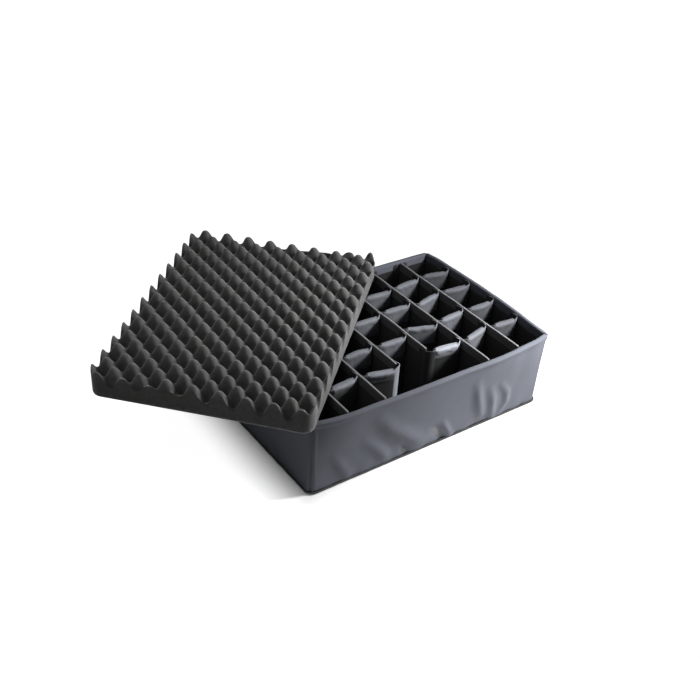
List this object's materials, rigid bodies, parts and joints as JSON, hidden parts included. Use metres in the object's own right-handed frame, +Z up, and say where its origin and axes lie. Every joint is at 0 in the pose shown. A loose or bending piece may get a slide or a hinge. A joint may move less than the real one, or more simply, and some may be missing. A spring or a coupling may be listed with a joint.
{
  "type": "padded case divider",
  "caption": "Soft-walled divider tray for a hard case, with hook-tabbed padded dividers forming tall cells and a loose egg-crate foam sheet laid slantwise on its rim.",
  "frame": {"origin": "middle of the tray's flat underside", "axes": "+X to the right along the tray's long side, +Y to the back, +Z up"},
  "size_m": [0.6389, 0.502, 0.1633],
  "materials": {
    "nylon_cloth": "coated black nylon with a low sheen",
    "binding_tape": "woven binding tape, matte",
    "loop_cloth": "brushed loop cloth, matte",
    "divider_cloth": "brushed loop cloth over foam, matte",
    "hook_tab": "hook-faced cloth, matte",
    "board_foam": "closed-cell foam board",
    "egg_crate_foam": "open-cell convoluted foam, charcoal, matte"
  },
  "bodies": {
    "tray": {"bottom_skin": "nylon_cloth", "bottom_binding": "binding_tape", "floor_foam": "board_foam", "loop_lining": "loop_cloth", "front_cover_panel": "nylon_cloth", "front_foam_board": "board_foam", "right_cover_panel": "nylon_cloth", "right_foam_board": "board_foam", "back_cover_panel": "nylon_cloth", "back_foam_board": "board_foam", "left_cover_panel": "nylon_cloth", "left_foam_board": "board_foam", "long_divider_1": "divider_cloth", "long_divider_1_front_tab": "hook_tab", "long_divider_1_back_tab": "hook_tab", "long_divider_2": "divider_cloth", "long_divider_2_front_tab": "hook_tab", "long_divider_2_back_tab": "hook_tab", "long_divider_3": "divider_cloth", "long_divider_3_back_tab": "hook_tab", "long_divider_4": "divider_cloth", "long_divider_4_back_tab": "hook_tab", "long_divider_5": "divider_cloth", "long_divider_5_front_tab": "hook_tab", "long_divider_5_back_tab": "hook_tab"},
    "egg_crate_pad": {"egg_crate_pad": "egg_crate_foam"},
    "long_divider_6": {"long_divider_6": "divider_cloth", "long_divider_6_front_tab": "hook_tab", "long_divider_6_back_tab": "hook_tab"},
    "short_divider_c1_r1": {"short_divider_c1_r1": "divider_cloth"},
    "short_divider_c1_r2": {"short_divider_c1_r2": "divider_cloth"},
    "short_divider_c1_r3": {"short_divider_c1_r3": "divider_cloth"},
    "short_divider_c1_r4": {"short_divider_c1_r4": "divider_cloth"},
    "short_divider_c2_r1": {"short_divider_c2_r1": "divider_cloth"},
    "short_divider_c2_r2": {"short_divider_c2_r2": "divider_cloth"},
    "short_divider_c2_r3": {"short_divider_c2_r3": "divider_cloth"},
    "short_divider_c2_r4": {"short_divider_c2_r4": "divider_cloth"},
    "short_divider_c3_r1": {"short_divider_c3_r1": "divider_cloth"},
    "short_divider_c3_r2": {"short_divider_c3_r2": "divider_cloth"},
    "short_divider_c3_r3": {"short_divider_c3_r3": "divider_cloth"},
    "short_divider_c3_r4": {"short_divider_c3_r4": "divider_cloth"},
    "short_divider_c4_r2": {"short_divider_c4_r2": "divider_cloth"},
    "short_divider_c4_r3": {"short_divider_c4_r3": "divider_cloth"},
    "short_divider_c4_r4": {"short_divider_c4_r4": "divider_cloth"},
    "short_divider_c5_r1": {"short_divider_c5_r1": "divider_cloth"},
    "short_divider_c5_r2": {"short_divider_c5_r2": "divider_cloth"},
    "short_divider_c5_r3": {"short_divider_c5_r3": "divider_cloth"},
    "short_divider_c5_r4": {"short_divider_c5_r4": "divider_cloth"},
    "short_divider_c6_r1": {"short_divider_c6_r1": "divider_cloth"},
    "short_divider_c6_r2": {"short_divider_c6_r2": "divider_cloth"},
    "short_divider_c6_r3": {"short_divider_c6_r3": "divider_cloth"},
    "short_divider_c6_r4": {"short_divider_c6_r4": "divider_cloth"},
    "short_divider_c7_r1": {"short_divider_c7_r1": "divider_cloth"},
    "short_divider_c7_r2": {"short_divider_c7_r2": "divider_cloth"},
    "short_divider_c7_r3": {"short_divider_c7_r3": "divider_cloth"},
    "short_divider_c7_r4": {"short_divider_c7_r4": "divider_cloth"}
  },
  "joints": [
    {"name": "pad_lift", "type": "slide", "parent": "tray", "child": "egg_crate_pad", "axis": [0, 0, 1], "range_m": [0, 0.2]},
    {"name": "long_divider_6_lift", "type": "slide", "parent": "tray", "child": "long_divider_6", "axis": [0, 0, 1], "range_m": [0, 0.125]},
    {"name": "c1_r1_shift", "type": "slide", "parent": "tray", "child": "short_divider_c1_r1", "axis": [0, 1, 0], "range_m": [-0.014, 0.014]},
    {"name": "c1_r2_shift", "type": "slide", "parent": "tray", "child": "short_divider_c1_r2", "axis": [0, 1, 0], "range_m": [-0.014, 0.014]},
    {"name": "c1_r3_shift", "type": "slide", "parent": "tray", "child": "short_divider_c1_r3", "axis": [0, 1, 0], "range_m": [-0.014, 0.014]},
    {"name": "c1_r4_shift", "type": "slide", "parent": "tray", "child": "short_divider_c1_r4", "axis": [0, 1, 0], "range_m": [-0.014, 0.014]},
    {"name": "c2_r1_shift", "type": "slide", "parent": "tray", "child": "short_divider_c2_r1", "axis": [0, 1, 0], "range_m": [-0.014, 0.014]},
    {"name": "c2_r2_shift", "type": "slide", "parent": "tray", "child": "short_divider_c2_r2", "axis": [0, 1, 0], "range_m": [-0.014, 0.014]},
    {"name": "c2_r3_shift", "type": "slide", "parent": "tray", "child": "short_divider_c2_r3", "axis": [0, 1, 0], "range_m": [-0.014, 0.014]},
    {"name": "c2_r4_shift", "type": "slide", "parent": "tray", "child": "short_divider_c2_r4", "axis": [0, 1, 0], "range_m": [-0.014, 0.014]},
    {"name": "c3_r1_lift", "type": "slide", "parent": "tray", "child": "short_divider_c3_r1", "axis": [0, 0, 1], "range_m": [0, 0.125]},
    {"name": "c3_r2_shift", "type": "slide", "parent": "tray", "child": "short_divider_c3_r2", "axis": [0, 1, 0], "range_m": [-0.014, 0.014]},
    {"name": "c3_r3_shift", "type": "slide", "parent": "tray", "child": "short_divider_c3_r3", "axis": [0, 1, 0], "range_m": [-0.014, 0.014]},
    {"name": "c3_r4_shift", "type": "slide", "parent": "tray", "child": "short_divider_c3_r4", "axis": [0, 1, 0], "range_m": [-0.014, 0.014]},
    {"name": "c4_r2_lift", "type": "slide", "parent": "tray", "child": "short_divider_c4_r2", "axis": [0, 0, 1], "range_m": [0, 0.125]},
    {"name": "c4_r3_shift", "type": "slide", "parent": "tray", "child": "short_divider_c4_r3", "axis": [0, 1, 0], "range_m": [-0.014, 0.014]},
    {"name": "c4_r4_shift", "type": "slide", "parent": "tray", "child": "short_divider_c4_r4", "axis": [0, 1, 0], "range_m": [-0.014, 0.014]},
    {"name": "c5_r1_lift", "type": "slide", "parent": "tray", "child": "short_divider_c5_r1", "axis": [0, 0, 1], "range_m": [0, 0.125]},
    {"name": "c5_r2_lift", "type": "slide", "parent": "tray", "child": "short_divider_c5_r2", "axis": [0, 0, 1], "range_m": [0, 0.125]},
    {"name": "c5_r3_lift", "type": "slide", "parent": "tray", "child": "short_divider_c5_r3", "axis": [0, 0, 1], "range_m": [0, 0.125]},
    {"name": "c5_r4_shift", "type": "slide", "parent": "tray", "child": "short_divider_c5_r4", "axis": [0, 1, 0], "range_m": [-0.014, 0.014]},
    {"name": "c6_r1_lift", "type": "slide", "parent": "tray", "child": "short_divider_c6_r1", "axis": [0, 0, 1], "range_m": [0, 0.125]},
    {"name": "c6_r2_lift", "type": "slide", "parent": "tray", "child": "short_divider_c6_r2", "axis": [0, 0, 1], "range_m": [0, 0.125]},
    {"name": "c6_r3_lift", "type": "slide", "parent": "tray", "child": "short_divider_c6_r3", "axis": [0, 0, 1], "range_m": [0, 0.125]},
    {"name": "c6_r4_lift", "type": "slide", "parent": "tray", "child": "short_divider_c6_r4", "axis": [0, 0, 1], "range_m": [0, 0.125]},
    {"name": "c7_r1_lift", "type": "slide", "parent": "tray", "child": "short_divider_c7_r1", "axis": [0, 0, 1], "range_m": [0, 0.125]},
    {"name": "c7_r2_lift", "type": "slide", "parent": "tray", "child": "short_divider_c7_r2", "axis": [0, 0, 1], "range_m": [0, 0.125]},
    {"name": "c7_r3_lift", "type": "slide", "parent": "tray", "child": "short_divider_c7_r3", "axis": [0, 0, 1], "range_m": [0, 0.125]},
    {"name": "c7_r4_lift", "type": "slide", "parent": "tray", "child": "short_divider_c7_r4", "axis": [0, 0, 1], "range_m": [0, 0.125]}
  ]
}
